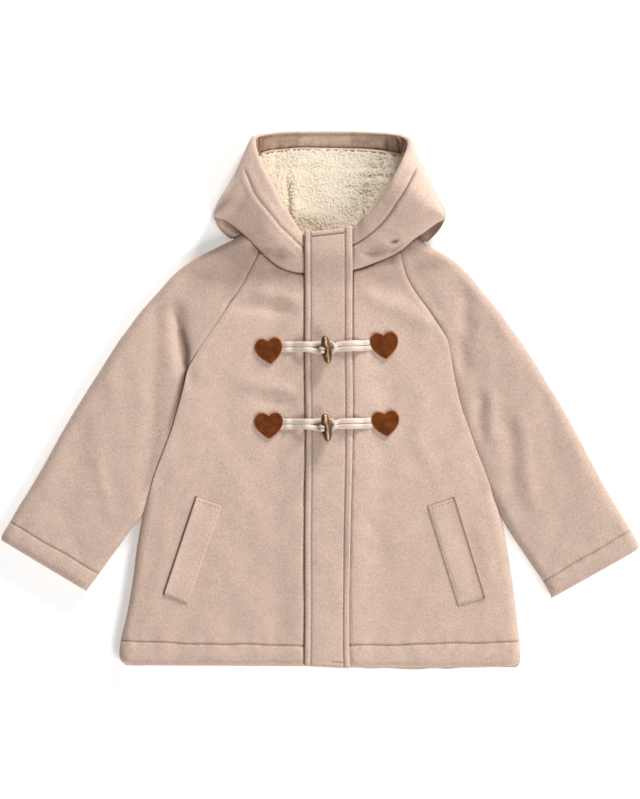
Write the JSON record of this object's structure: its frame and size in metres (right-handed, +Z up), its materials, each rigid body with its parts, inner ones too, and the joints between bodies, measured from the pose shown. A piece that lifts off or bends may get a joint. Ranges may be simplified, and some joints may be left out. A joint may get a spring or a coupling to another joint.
{
  "type": "hooded duffle coat",
  "caption": "Child's hooded duffle coat lying flat with raglan sleeves, front flap, toggles on cord loops, heart-shaped leather patches, welt pockets and a pile-lined hood.",
  "frame": {"origin": "middle of the flat underside of the coat's bounding box, on the surface that it lies on", "axes": "+X across the coat towards the wearer's left sleeve, +Y from hem to hood, +Z up out of the coat's front"},
  "size_m": [0.7015, 0.5914, 0.049],
  "materials": {
    "wool": "brushed heathered wool cloth with a soft nap",
    "pile": "cream curly pile lining",
    "leather": "brown suede-like leather",
    "braid": "flat braided cotton cord",
    "horn": "polished brown horn-like toggle"
  },
  "bodies": {
    "root": {"back": "wool", "front_right": "wool", "front_left": "wool", "sleeve_right_front": "wool", "sleeve_right_back": "wool", "sleeve_left_front": "wool", "sleeve_left_back": "wool", "hood_back": "wool", "hood_side_right": "wool", "hood_side_left": "wool", "hood_band_right": "wool", "hood_band_left": "wool", "hood_facing": "wool", "front_flap": "wool", "pocket_welt_right": "wool", "pocket_welt_left": "wool", "hood_lining": "pile", "heart_patch_right_upper": "leather", "heart_patch_right_lower": "leather", "heart_patch_left_upper": "leather", "heart_patch_left_lower": "leather", "loop_cord_upper": "braid", "loop_cord_lower": "braid", "toggle_cord_upper": "braid", "toggle_cord_lower": "braid", "toggle_upper": "horn", "toggle_lower": "horn"}
  },
  "joints": []
}
